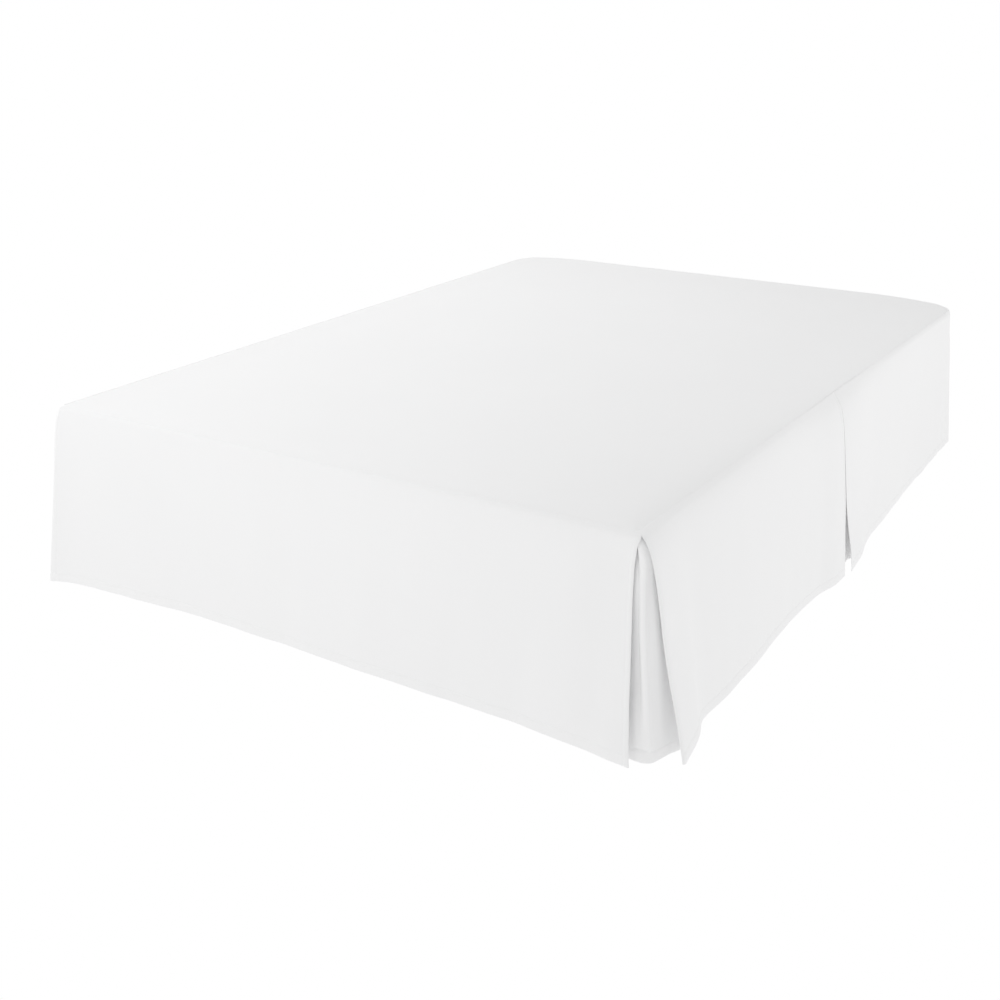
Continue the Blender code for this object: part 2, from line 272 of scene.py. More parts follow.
# ---------------------------------------------------------------- section of a drop
def section(hem_z, inset):
    """Rows of a hanging sheet, from its end inside the seam to its hem, as arrays of
    outward distance, height, share of the flare, and length along the cloth from the
    seam."""
    radius = SHOULDER_R - inset
    depth = DECK_Z - hem_z
    cx, cz = -SHOULDER_R, DECK_Z - SHOULDER_R
    rx = cx + (radius - ROLL) * sin(ROLL_ANGLE)
    rz = cz + (radius - ROLL) * cos(ROLL_ANGLE)
    rows = [(rx - ROLL, rz - d) for d in (0.0085, 0.0055, 0.0030, 0.0012)]
    for k in range(8):
        a = pi - (pi / 2 + ROLL_ANGLE) * k / 7
        rows.append((rx + ROLL * cos(a), rz + ROLL * sin(a)))
    for k in range(1, 15):
        a = ROLL_ANGLE + (pi / 2 - ROLL_ANGLE) * k / 14
        rows.append((cx + radius * sin(a), cz + radius * cos(a)))
    z, step = cz, 0.0026
    foot = (0.028, 0.0245, 0.022, 0.0205, 0.0197, 0.0190, 0.0183, 0.0175, 0.0160,
            0.0135, 0.0105, 0.0075, 0.0045, 0.0022, 0.0008, 0.0)
    while z - step > hem_z + foot[0] + 0.004:
        z -= step
        step = min(step * 1.06, 0.0075)
        rows.append((-inset, z))
    rows += [(-inset, hem_z + f) for f in foot]
    rows = np.array(rows)
    top = int(np.argmax(rows[:12, 1]))
    t = (DECK_Z - rows[:, 1]) / depth
    first = fall(t[top])
    share = (fall(t) - first) / (1 - first)
    share[:top + 1] = 0.0
    length = np.concatenate(([0], np.cumsum(np.hypot(*np.diff(rows, axis=0).T))))
    return rows[:, 0], rows[:, 1], share, length - length[4]


EDGE = (0.0, 0.0006, 0.0016, 0.003, 0.0052, 0.0075, 0.0092, 0.0099, 0.0105, 0.0111,
        0.0119, 0.0136, 0.0165, 0.0205)


def columns(start, end, step, hems=(True, True), turns=()):
    """Places along a sheet: even ones, finer ones in its side hems and where the rim
    turns a corner."""
    fine = []
    if hems[0]:
        fine += [start + e for e in EDGE]
    if hems[1]:
        fine += [end - e for e in EDGE]
    fine += [f for f in turns if start < f < end] + [start, end]
    fine = sorted(set(round(f, 7) for f in fine))
    kept = [fine[0]]
    for f in fine[1:]:
        if f - kept[-1] > 0.00035:
            kept.append(f)
    kept[-1] = fine[-1]
    out = []
    for a, b in zip(kept, kept[1:]):
        n = max(1, round((b - a) / step))
        out += [a + (b - a) * i / n for i in range(n)]
    return np.array(out + [kept[-1]])


# ---------------------------------------------------------------- meshes
def normals_of(grid):
    """Unit normals of a grid of points, rows by columns."""
    across = np.gradient(grid, axis=1)
    down = np.gradient(grid, axis=0)
    n = np.cross(across, down)
    return n / np.maximum(np.linalg.norm(n, axis=2, keepdims=True), 1e-12)


def shell(name, grid, thick, uv, towards, rounds=4):
    """Closed cloth from a grid of points on its face: the face, a back that lies thick
    below it, and a rounded rim.  towards is a grid of rough outward directions."""
    normal = normals_of(grid)
    flip = (normal * towards).sum() < 0
    if flip:
        normal = -normal
    back = grid - normal * thick[..., None]
    rows, cols = grid.shape[:2]
    n = rows * cols
    points = [grid.reshape(-1, 3), back.reshape(-1, 3)]
    uvs = [uv.reshape(-1, 2), uv.reshape(-1, 2)]
    index = np.arange(n).reshape(rows, cols)
    a, b, c, d = index[:-1, :-1], index[:-1, 1:], index[1:, 1:], index[1:, :-1]
    face = np.stack([a, b, c, d], -1).reshape(-1, 4)
    if flip:
        face = face[:, ::-1]
    faces = [face, face[:, ::-1] + n]
    loop = np.concatenate((index[0, :-1], index[:-1, -1], index[-1, :0:-1], index[:0:-1, 0]))
    outward = np.zeros((rows, cols, 3))
    outward[0] += unit(grid[0] - grid[1])
    outward[-1] += unit(grid[-1] - grid[-2])
    outward[:, 0] += unit(grid[:, 0] - grid[:, 1])
    outward[:, -1] += unit(grid[:, -1] - grid[:, -2])
    out = unit(outward.reshape(-1, 3)[loop])
    up = normal.reshape(-1, 3)[loop]
    half = thick.reshape(-1)[loop][:, None] / 2
    middle = grid.reshape(-1, 3)[loop] - up * half
    m = len(loop)
    rings = [loop]
    total = 2 * n
    for k in range(1, rounds):
        a = pi * k / rounds
        points.append(middle + half * (up * cos(a) + out * sin(a)))
        uvs.append(uv.reshape(-1, 2)[loop])
        rings.append(np.arange(total, total + m))
        total += m
    rings.append(loop + n)
    for one, two in zip(rings, rings[1:]):
        quad = np.stack([one, two, np.roll(two, -1), np.roll(one, -1)], -1)
        faces.append(quad[:, ::-1] if flip else quad)
    return mesh_object(name, np.concatenate(points), np.concatenate(faces), np.concatenate(uvs))


def unit(v):
    return v / np.maximum(np.linalg.norm(v, axis=-1, keepdims=True), 1e-12)


def mesh_object(name, points, faces, uv=None, smooth=True):
    points = np.asarray(points, float) + BED
    mesh = bpy.data.meshes.new(name)
    mesh.from_pydata(points.tolist(), [], [tuple(int(i) for i in f) for f in faces])
    mesh.validate()
    if uv is not None:
        layer = mesh.uv_layers.new(name="cloth")
        corner = np.zeros(len(mesh.loops), np.int32)
        mesh.loops.foreach_get("vertex_index", corner)
        layer.data.foreach_set("uv", np.asarray(uv, np.float32)[corner].ravel())
    if smooth:
        mesh.shade_smooth()
    mesh.update()
    made = bpy.data.objects.new(name, mesh)
    bpy.context.scene.collection.objects.link(made)
    return made


# ---------------------------------------------------------------- hanging sheets
def hang(q, rows, flare, inset, seed, hems, wave):
    """Points on the face of a hanging sheet, and what goes with them."""
    out, z, share, length = rows
    point, normal, move = [], [], []
    for at in q:
        p, n, _ = rim(at)
        point.append(tuple(p)), normal.append(tuple(n)), move.append(tuple(flare(at)))
    point, normal, move = (np.array(x) for x in (point, normal, move))
    flat = (point[None] + normal[None] * out[:, None, None]
            + move[None] * share[:, None, None])
    grid = np.dstack((flat, np.broadcast_to(z[:, None, None], (len(z), len(q), 1))))
    towards = np.dstack((np.broadcast_to(normal[None], flat.shape),
                         np.zeros((len(z), len(q), 1))))
    facing = normals_of(grid)
    if (facing * towards).sum() < 0:
        facing = -facing
    up = np.maximum(z - z[-1], 0)[:, None]                 # height above the hem
    down = np.maximum(length, 0)[:, None]                  # below the seam
    depth = np.clip(down / (length[-1]), 0, 1)
    a = (q - q[0])[None]                                   # in from the two edges
    b = (q[-1] - q)[None]
    hidden = (length < 0.0005)[:, None]
    # the cloth's own unevenness: long soft waves that grow towards the hem
    lift = wave * ripple(q, seed, 0.42, 0.13)[None] * depth ** 1.3
    lift = lift + 0.35 * wave * ripple(q + 0.06 * depth, seed + 1, 0.15, 0.06) * depth ** 1.1
    # where it was sewn into the seam
    lift = lift + 0.00016 * ripple(q, seed + 2, 0.034, 0.011)[None] * np.exp(-down / 0.016)
    # bottom hem: stitches draw it in, the fold stands full, the line puckers a little
    drawn = 0.00030 * bell(up - BOTTOM_HEM, 0.0013)
    full = 0.00022 * soft(up, 0.0, 0.004) * (1 - soft(up, BOTTOM_HEM - 0.005, BOTTOM_HEM))
    pucker = (0.00020 * ripple(q, seed + 3, 0.030, 0.012)[None]
              * np.exp(-np.abs(up - BOTTOM_HEM) / 0.010))
    lift = lift + full - drawn + pucker
    # side hems
    for on, x, k in ((hems[0], a, 4), (hems[1], b, 5)):
        if on:
            free = soft(down, 0.004, 0.020)
            lift = lift - 0.00028 * bell(x - SIDE_HEM, 0.0009) * free
            lift = lift + 0.00020 * soft(x, 0, 0.003) * (1 - soft(x, 0.007, SIDE_HEM)) * free
            lift = lift + (0.00014 * ripple(down, seed + k, 0.035, 0.014)
                           * np.exp(-np.abs(x - SIDE_HEM) / 0.006) * free)
    lift = np.where(hidden, 0.0, lift)
    grid = grid + facing * lift[..., None]
    thick = np.full(lift.shape, CLOTH)
    extra = HEM_CLOTH - CLOTH
    turned = 1 - soft(up, BOTTOM_HEM, BOTTOM_HEM + 0.0015) + 0 * a
    for on, x in ((hems[0], a), (hems[1], b)):
        if on:
            turned = np.maximum(turned, 1 - soft(x, SIDE_HEM, SIDE_HEM + 0.0012) + 0 * up)
    thick = thick + extra * turned
    thick = np.where(length[:, None] < 0.004, np.minimum(thick, CLOTH), thick)
    uv = np.dstack((np.broadcast_to(q[None], lift.shape),
                    np.broadcast_to(-length[:, None], lift.shape)))
    return grid, thick, uv, towards


def stitches(name, lines):
    """Thread along sewn lines.  Each line is (points, normals); a stitch is a short
    thread that bows up between two needle holes."""
    pitch, gap, radius = 0.0030, 0.0005, 0.00019
    points, faces = [], []
    count = 0
    for line, normal in lines:
        step = np.linalg.norm(np.diff(line, axis=0), axis=1)
        at = np.concatenate(([0], np.cumsum(step)))
        n = int(at[-1] / pitch)
        if n < 1:
            continue
        start = np.arange(n) * pitch + (at[-1] - n * pitch) / 2 + gap / 2
        for u, r, h in ((0.0, 0.55, -0.00012), (0.22, 1.0, 0.00008),
                        (0.78, 1.0, 0.00008), (1.0, 0.55, -0.00012)):
            s = start + u * (pitch - gap)
            p = np.stack([np.interp(s, at, line[:, k]) for k in range(3)], -1)
            e = np.stack([np.interp(s + 1e-4, at, line[:, k]) for k in range(3)], -1)
            m = unit(np.stack([np.interp(s, at, normal[:, k]) for k in range(3)], -1))
            d = unit(e - p + 1e-12)
            w = unit(np.cross(d, m))
            for k in range(5):
                c = 2 * pi * k / 5 + 0.3
                points.append(p + m * (h + r * radius * sin(c)) + w * (r * radius * cos(c)))
        base = count + np.arange(n)
        ring = [[base + n * (5 * i + k) for k in range(5)] for i in range(4)]
        for i in range(3):
            for k in range(5):
                faces.append(np.stack([ring[i][k], ring[i][(k + 1) % 5],
                                       ring[i + 1][(k + 1) % 5], ring[i + 1][k]], -1))
        count += 20 * n
        ends = [np.stack(ring[0][::-1], -1), np.stack(ring[3], -1)]
        faces += ends
    all_faces = [f for block in faces for f in block.tolist()]
    made = mesh_object(name, np.concatenate(points), all_faces)
    # one outside for every thread
    import bmesh
    bm = bmesh.new()
    bm.from_mesh(made.data)
    bmesh.ops.recalc_face_normals(bm, faces=bm.faces)
    bm.to_mesh(made.data)
    bm.free()
    return made


def row_line(grid, facing, values, target, axis):
    """The line across a grid where values, one for each row (axis 0) or column (axis 1),
    reach target."""
    order = np.argsort(values)
    v = values[order]
    j = int(np.clip(np.searchsorted(v, target), 1, len(v) - 1))
    w = (target - v[j - 1]) / (v[j] - v[j - 1])
    take = (lambda g, i: g[i]) if axis == 0 else (lambda g, i: g[:, i])
    one, two = order[j - 1], order[j]
    return (take(grid, one) * (1 - w) + take(grid, two) * w,
            unit(take(facing, one) * (1 - w) + take(facing, two) * w))


def drop_piece(name, node, q, flare, inset, hem_z, seed, hems=(True, True), wave=0.0012,
               change=None):
    rows = section(hem_z, inset)
    grid, thick, uv, towards = hang(q, rows, flare, inset, seed, hems, wave)
    if change is not None:
        grid = change(grid, q, rows)
    cloth = shell(name, grid, thick, uv, towards)
    facing = normals_of(grid)
    if (facing * towards).sum() < 0:
        facing = -facing
    up = rows[1] - rows[1][-1]
    lines = []
    line, normal = row_line(grid[20:], facing[20:], up[20:], BOTTOM_HEM, 0)
    inner = (q > q[0] + (0.0015 if hems[0] else 0)) & (q < q[-1] - (0.0015 if hems[1] else 0))
    lines.append((line[inner], normal[inner]))
    for on, x in ((hems[0], q - q[0]), (hems[1], q[-1] - q)):
        if on:
            line, normal = row_line(grid, facing, x, SIDE_HEM, 1)
            seen = (rows[3] > 0.008) & (up > 0.0015)
            lines.append((line[seen], normal[seen]))
    thread = stitches(name.replace("cloth", "stitches"), lines)
    cloth["node"] = node
    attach(cloth, "root")
    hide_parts(node)
    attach(thread, "root")
    return cloth, thread


def depth_of(rows):
    """Depth below the top of each row, 0 at the top and 1 at the hem."""
    z = rows[1]
    return np.clip((DECK_Z - z) / (DECK_Z - z[-1]), 0, 1)[:, None]


# How far the edges beside the splits stand from the even flare: height, and the way
# they are moved, in the middle of the edge.
FOOT_END = (             # along +X, right end of the foot drop
    (0.0000,  0.0018),
    (0.0500, -0.0037),
    (0.1000, -0.0066),
    (0.1500, -0.0067),
    (0.2000, -0.0068),
    (0.2500, -0.0070),
    (0.3000, -0.0071),
    (0.3550, -0.0053),
    (0.3720, -0.0026),
    (0.3880,  0.0008),
    (0.3980,  0.0056),
    (0.4050,  0.0078),
    (0.4095,  0.0050),
    (0.4125,  0.0000),
)
RIGHT_START = (          # along +X, foot end of the right drop
    (0.0000, -0.0009),
    (0.0300,  0.0010),
    (0.0700,  0.0020),
    (0.1100,  0.0022),
    (0.1500,  0.0015),
    (0.2300,  0.0024),
    (0.2700,  0.0048),
    (0.3500,  0.0046),
    (0.3800,  0.0049),
    (0.4000,  0.0048),
    (0.4070,  0.0030),
    (0.4125,  0.0000),
)
SPLIT_OUT = (            # along +X, both edges of the right side's split
    (0.0000, -0.0010),
    (0.0500,  0.0012),
    (0.1000,  0.0030),
    (0.1500,  0.0056),
    (0.2000,  0.0068),
    (0.3200,  0.0064),
    (0.3600,  0.0042),
    (0.3750,  0.0028),
    (0.3850,  0.0010),
    (0.3950, -0.0020),
    (0.4020, -0.0040),
    (0.4090, -0.0010),
    (0.4125,  0.0000),
)
SPLIT_HEAD_OUT = ((0.0000, 0.0011), (0.0500, 0.0041), (0.1000, 0.0050),
                  (0.1500, 0.0062)) + SPLIT_OUT[4:]


def stood(table, rows):
    return np.array([read(table, z)[0] for z in rows[1]])[:, None] * (rows[2][:, None] > 0)


def foot_ease(grid, q, rows):
    """Right end of the foot drop: it falls back a little towards the corner, and its side
    hem flips forward again."""
    t, end = depth_of(rows), (q[-1] - q)[None]
    hung = soft(rows[3], 0.010, 0.050)[:, None]
    grid = grid.copy()
    grid[..., 0] += stood(FOOT_END, rows) * bell(end, 0.060)
    grid[..., 1] += 0.0080 * soft(t, 0.0, 0.14) * (1 - soft(t, 0.80, 1.0)) * soft(-end, -0.125, -0.012)
    grid[..., 1] -= 0.0026 * np.clip(1 - end / 0.0125, 0, 1) ** 1.3 * hung
    return grid


def right_ease(grid, q, rows):
    """Right drop at the foot: the folded edge of its side hem rolls under, and it stands
    out beside the split in the middle of the side."""
    radius = 0.0030
    a = np.clip(radius - (q - q[0]), 0, radius)[None]
    hung = soft(rows[3], 0.060, 0.140)[:, None]
    grid = grid.copy()
    grid[..., 0] += stood(RIGHT_START, rows) * bell(q - q[0], 0.070)[None]
    grid[..., 0] += stood(SPLIT_OUT, rows) * bell(q[-1] - q, 0.200)[None]
    grid[..., 0] -= (radius - np.sqrt(radius ** 2 - (0.96 * a) ** 2)) * hung
    return grid
HEAD_CORNER = (          # hem of the right head drop: place, moved along +X, along +Y
    (1.600,  0.0000, 0.000),
    (1.660,  0.0030, 0.002),
    (1.700,  0.0022, 0.004),
    (1.749,  0.0013, 0.006),
    (1.782,  0.0039, 0.008),
    (1.800,  0.0062, 0.009),
    (1.821,  0.0054, 0.011),
    (1.843,  0.0026, 0.012),
    (1.862, -0.0010, 0.012),
    (1.880, -0.0070, 0.013),
    (1.905,  0.0000, 0.015),
    (1.917,  0.0020, 0.015),
    (1.942,  0.0010, 0.012),
    (1.967,  0.0000, 0.008),
    (2.015,  0.0000, 0.004),
)
HEAD_STOOD = (           # along +X, the same drop above its head corner
    (0.0000,  0.0000),
    (0.1500,  0.0000),
    (0.2600, -0.0009),
    (0.3000, -0.0023),
    (0.3365, -0.0037),
    (0.3627, -0.0045),
    (0.3900, -0.0036),
    (0.4046, -0.0018),
    (0.4084,  0.0000),
    (0.4125,  0.0000),
)


def head_ease(grid, q, rows):
    """Right head drop: front edge as at every split, and a fuller head corner."""
    grid = split_ease(0.57, 0.029, 0.10, SPLIT_HEAD_OUT)(grid, q, rows)
    move = np.array([read(HEAD_CORNER, at) for at in q])
    grid[..., :2] += move[None] * rows[2][:, None, None]
    grid[..., 0] += stood(HEAD_STOOD, rows) * bell(q - 1.876, 0.045)[None]
    return grid


def split_ease(opens, wide, reach, out=None):
    """Front edge of a head drop: it stays against the foot drop's edge until the split
    opens near the hem."""
    def ease(grid, q, rows):
        t = depth_of(rows)
        share = rows[2][:, None]
        edge = q[0] if q[0] > 0 else q[-1]
        near = np.abs(q - edge)[None]
        grid = grid.copy()
        grid[..., 1] -= wide * (share - soft(t, opens, 1.0)) * bell(near, reach) * (share > 0)
        if out is not None:
            grid[..., 0] += stood(out, rows) * bell(near, 0.200)
        return grid
    return ease


def corner_ease(grid, q, rows):
    """Right corner underlay: higher up its side lies close behind the side drop, its
    front stands back behind the foot drop, and the pressed fold between them stands out
    as a narrow ridge that the hem flattens."""
    t = depth_of(rows)
    share = rows[2][:, None]
    hem = np.array([read(RIGHT_CORNER_HEM, at) for at in q])
    drop = np.array([read(RIGHT_FOOT_HEM, max(at, 0.0))[1] for at in hem[:, 1]])
    early = share * (1 - soft(t, 0.12, 1.0))
    right = np.maximum(drop - 0.005 - hem[:, 0], 0) * soft(q, -0.004, 0.022) * (1 - soft(q, 0.070, 0.112))
    grid = grid.copy()
    grid[..., 0] += early * right[None]
    at = q[None] - 0.0030 * soft(t, 0.0, 0.15) + 0.0034 * soft(t, 0.15, 0.45)
    back = 0.0145 * (1 - soft(at, -0.0120, -0.0045)) * soft(q, -0.072, -0.038)[None]
    grid[..., 1] += share * (1 - soft(t, 0.66, 0.98)) * back
    up = (rows[1] - rows[1][-1])[:, None]
    fold = 0.0030 * bell(at + 0.0008, 0.0040) - 0.0012 * bell(at, 0.0105)
    fold = fold * soft(rows[3], 0.006, 0.040)[:, None] * soft(up, 0.014, 0.030)
    grid[..., 0] += fold
    grid[..., 1] -= fold
    # just under the seam the fold stands out past the corner, close to the side drop
    near = soft(t, 0.0, 0.07) * (1 - soft(t, 0.10, 0.25))
    grid[..., 0] += 0.0060 * near * (soft(q, -0.006, 0.010) * (1 - soft(q, 0.012, 0.032)))[None]
    grid[..., 1] += 0.0045 * near * (1 - soft(at, -0.0130, -0.0050)) * soft(q, -0.040, -0.022)[None]
    # a short tuck over the hem, beside the foot drop
    grid[..., 1] += 0.0018 * bell(up - 0.0225, 0.0018) * soft(q, -0.024, -0.018) * (1 - soft(q, -0.006, 0.0))
    return grid


def pleat_ease(grid, q, rows):
    """Right pleat underlay: its hem rides up a little just behind the split."""
    grid = grid.copy()
    up = (rows[1] - rows[1][-1])[:, None]
    grid[..., 2] += 0.0085 * bell(q - SPLIT - 0.012, 0.022)[None] * (1 - soft(up, 0.0, 0.12))
    return grid


FOOT_TURN = tuple(FOOT_R * k / 6 for k in range(-6, 7))
HEAD_TURN = tuple(BED_L + HEAD_R * k / 10 for k in range(-10, 11))

drops = {}
drops["foot"] = drop_piece(
    "foot_drop_cloth", "foot_drop",
    columns(-BED_W + HALF, -HALF, 0.0055, turns=[-BED_W + f for f in FOOT_TURN] + list(FOOT_TURN)),
    side_flare(FOOT_HEM, -BED_W, 1, None), 0.0, HEM_Z, 11, change=foot_ease)
drops["right_foot"] = drop_piece(
    "right_drop_foot_cloth", "right_drop_foot",
    columns(HALF, SPLIT - HALF, 0.0055, turns=FOOT_TURN),
    side_flare(RIGHT_FOOT_HEM, 0.0, 1, None), 0.0, HEM_Z, 23, change=right_ease)
drops["right_head"] = drop_piece(
    "right_drop_head_cloth", "right_drop_head",
    columns(SPLIT + HALF, BED_L + HEAD_RETURN, 0.0055, turns=HEAD_TURN),
    side_flare(RIGHT_HEAD_HEM, 0.0, 1, BED_L - HEAD_R), 0.0, HEM_Z, 37,
    change=head_ease)
drops["left_foot"] = drop_piece(
    "left_drop_foot_cloth", "left_drop_foot",
    columns(LEFT - SPLIT + HALF, LEFT - HALF, 0.0055, turns=[LEFT + f for f in FOOT_TURN]),
    side_flare(LEFT_FOOT_HEM, LEFT, -1, None), 0.0, HEM_Z, 41)
drops["left_head"] = drop_piece(
    "left_drop_head_cloth", "left_drop_head",
    columns(LEFT - BED_L - HEAD_RETURN, LEFT - SPLIT - HALF, 0.0055,
            turns=[LEFT - f for f in HEAD_TURN]),
    side_flare(LEFT_HEAD_HEM, LEFT, -1, BED_L - HEAD_R), 0.0, HEM_Z, 53,
    change=split_ease(0.45, 0.034, 0.12))


# ---------------------------------------------------------------- underlays
drops["right_corner"] = drop_piece(
    "right_corner_insert_cloth", "right_corner_insert",
    columns(-0.110, 0.120, 0.0030, turns=[0.0008 * k for k in range(-17, 18)]),
    corner_flare(RIGHT_CORNER_HEM, 0.0, 1), UNDER, INSERT_HEM_Z, 61, wave=0.0004,
    change=corner_ease)
drops["left_corner"] = drop_piece(
    "left_corner_insert_cloth", "left_corner_insert",
    columns(LEFT - 0.120, LEFT + 0.110, 0.0030, turns=[LEFT + f for f in FOOT_TURN]),
    corner_flare(LEFT_CORNER_HEM, LEFT, -1), UNDER, INSERT_HEM_Z, 67, wave=0.0004)
drops["right_pleat"] = drop_piece(
    "right_pleat_insert_cloth", "right_pleat_insert",
    columns(SPLIT - 0.012 - PLEAT_REACH, SPLIT - 0.012 + PLEAT_REACH, 0.0035),
    pleat_flare(RIGHT_PLEAT_OUT), UNDER, INSERT_HEM_Z, 71, wave=0.0004, change=pleat_ease)
drops["left_pleat"] = drop_piece(
    "left_pleat_insert_cloth", "left_pleat_insert",
    columns(LEFT - SPLIT - PLEAT_REACH, LEFT - SPLIT + PLEAT_REACH, 0.0035),
    pleat_flare(LEFT_PLEAT_OUT), UNDER, INSERT_HEM_Z, 79, wave=0.0004)


# ---------------------------------------------------------------- deck
PILLOW, PILLOW_RUN = 0.0095, 0.031    # fuller edge at the right foot corner
PILLOW_ALONG, PILLOW_ACROSS = 0.50, 0.45


def swell(x, y):
    """How far the padded top stands over its own edge."""
    side = np.maximum(half_x - np.abs(x), 0.0)
    foot = np.maximum(half_y + y, 0.0)
    rise = lambda d: 1 - (1 - np.clip(d / CROWN_RUN, 0.0, 1.0)) ** 2
    full = lambda d: 1 - np.exp(-d / PILLOW_RUN)
    corner = bell(foot, PILLOW_ALONG) * bell(half_x - x, PILLOW_ACROSS)
    return CROWN * rise(side) * rise(foot) + PILLOW * corner * full(side) * full(foot)


def spaced(low, high, step, fine):
    """Grid lines from low to high, close together near both ends."""
    inner_low, inner_high = low + fine[-1], high - fine[-1]
    n = max(1, round((inner_high - inner_low) / step))
    return np.array([low + f for f in fine[:-1]]
                    + [inner_low + (inner_high - inner_low) * k / n for k in range(n + 1)]
                    + [high - f for f in reversed(fine[:-1])])


def round_corners(x, y, half_x, half_y, r_foot, r_head):
    """Square grid to rounded outline."""
    r = np.where(y < 0, r_foot, r_head)
    cx, cy = half_x - r, half_y - r
    dx, dy = np.abs(x) - cx, np.abs(y) - cy
    at = (dx > 0) & (dy > 0)
    scale = np.where(at, np.maximum(dx, dy) / np.maximum(np.hypot(dx, dy), 1e-12), 1)
    return (np.where(at, (cx + dx * scale) * np.sign(x), x),
            np.where(at, (cy + dy * scale) * np.sign(y), y))


def outline_normal(x, y, half_x, half_y, r_foot, r_head):
    """Outward direction in plan at the points of a rounded outline."""
    r = np.where(y < 0, r_foot, r_head)
    dx, dy = np.abs(x) - (half_x - r), np.abs(y) - (half_y - r)
    corner = (dx > 1e-7) & (dy > 1e-7)
    side = np.abs(x) > half_x - 1e-6
    nx = np.where(corner, dx, np.where(side, 1.0, 0.0)) * np.sign(x)
    ny = np.where(corner, dy, np.where(side, 0.0, 1.0)) * np.sign(y)
    size = np.maximum(np.hypot(nx, ny), 1e-12)
    return nx / size, ny / size


seam_at = SHOULDER_R - (SHOULDER_R - ROLL) * sin(ROLL_ANGLE) + ROLL + SEAM_GAP
deck_top = DECK_Z - SHOULDER_R + (SHOULDER_R - ROLL) * cos(ROLL_ANGLE) + ROLL - DECK_Z
half_x, half_y = BED_W / 2 - seam_at - DECK_ROLL, BED_L / 2 - seam_at - DECK_ROLL
r_foot, r_head = 0.0012, HEAD_R - seam_at - DECK_ROLL


def deck_height(x, y):
    """The deck's face: flat in the middle, falling to the edges that hold it down."""
    every = np.minimum(np.minimum(half_x - np.abs(x), half_y + y), half_y - y)
    lip = (0.0005 - deck_top) * np.clip(1 - every / 0.032, 0, 1) ** 2
    slack = (0.00045 * ripple(x + 0.22 * y, 81, 0.55, 0.21) * ripple(y, 82, 0.70, 0.25)
             * soft(every, 0.0, 0.10))
    return DECK_Z + swell(x, y) - lip + slack


FINE = (0.0, 0.002, 0.005, 0.009, 0.014, 0.021, 0.030, 0.040)
xs = spaced(-half_x, half_x, 0.0105, FINE)
ys = spaced(-half_y, half_y, 0.0105, FINE)
gx, gy = np.meshgrid(xs, ys)
gz = deck_height(gx, gy)
px, py = round_corners(gx, gy, half_x, half_y, r_foot, r_head)
top = np.dstack((px, py, gz))

rows_n, cols_n = gx.shape
index = np.arange(rows_n * cols_n).reshape(rows_n, cols_n)
loop = np.concatenate((index[0, :-1], index[:-1, -1], index[-1, :0:-1], index[:0:-1, 0]))
a, b, c, d = index[:-1, :-1], index[:-1, 1:], index[1:, 1:], index[1:, :-1]
quads = np.stack([a, b, c, d], -1).reshape(-1, 4)
flat_top = top.reshape(-1, 3)
n_top = len(flat_top)
normal_top = normals_of(top).reshape(-1, 3)
normal_top *= np.sign(normal_top[:, 2:3])
edge = flat_top[loop]
ox, oy = outline_normal(edge[:, 0], edge[:, 1], half_x, half_y, r_foot, r_head)
out = np.stack([ox, oy, np.zeros(len(ox))], -1)
zed = np.array((0.0, 0.0, 1.0))
centre = edge - zed * DECK_ROLL
points = [flat_top, flat_top - normal_top * CLOTH]
faces = [quads, quads[:, ::-1] + n_top]
uvs = [np.stack([gx.ravel(), gy.ravel()], -1)] * 2
total = 2 * n_top
m = len(loop)


def add_ring(p, uv):
    global total
    points.append(p)
    uvs.append(uv)
    total += m
    return np.arange(total - m, total)


def join(one, two, back=False):
    quad = np.stack([one, two, np.roll(two, -1), np.roll(one, -1)], -1)
    faces.append(quad[:, ::-1] if back else quad)


uv_edge = uvs[0][loop]
face_rings, back_rings = [loop], [loop + n_top]
for k in range(1, 7):
    a = pi / 2 * k / 6
    face_rings.append(add_ring(centre + (out * sin(a) + zed * cos(a)) * DECK_ROLL,
                               uv_edge + out[:, :2] * DECK_ROLL * a))
    back_rings.append(add_ring(centre + (out * sin(a) + zed * cos(a)) * (DECK_ROLL - CLOTH),
                               uv_edge + out[:, :2] * DECK_ROLL * a))
for d in (0.0015, 0.0035, 0.0060):
    face_rings.append(add_ring(centre + out * DECK_ROLL - zed * d,
                               uv_edge + out[:, :2] * (DECK_ROLL * pi / 2 + d)))
    back_rings.append(add_ring(centre + out * (DECK_ROLL - CLOTH) - zed * d,
                               uv_edge + out[:, :2] * (DECK_ROLL * pi / 2 + d)))
for one, two in zip(face_rings, face_rings[1:]):
    join(one, two)
for one, two in zip(back_rings, back_rings[1:]):
    join(one, two, back=True)
tip = add_ring(centre + out * (DECK_ROLL - CLOTH / 2) - zed * (0.0060 + CLOTH / 2), uv_edge)
join(face_rings[-1], tip)
join(tip, back_rings[-1])
deck = mesh_object("deck_cloth", np.concatenate(points), np.concatenate(faces), np.concatenate(uvs))


def outside_out(obj):
    """Turn every face of a closed mesh outwards."""
    import bmesh
    bm = bmesh.new()
    bm.from_mesh(obj.data)
    bmesh.ops.recalc_face_normals(bm, faces=bm.faces)
    bm.to_mesh(obj.data)
    bm.free()
    obj.data.update()


outside_out(deck)
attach(deck, "root")
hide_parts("deck")

# hem across the head end
hx = np.linspace(-half_x + 0.085, half_x - 0.085, 400)
hy = np.full_like(hx, half_y - 0.013)
head_line = np.stack([hx, hy, deck_height(hx, hy)], -1)
head_thread = stitches("deck_head_stitches", [(head_line, np.tile(zed, (len(hx), 1)))])
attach(head_thread, "root")

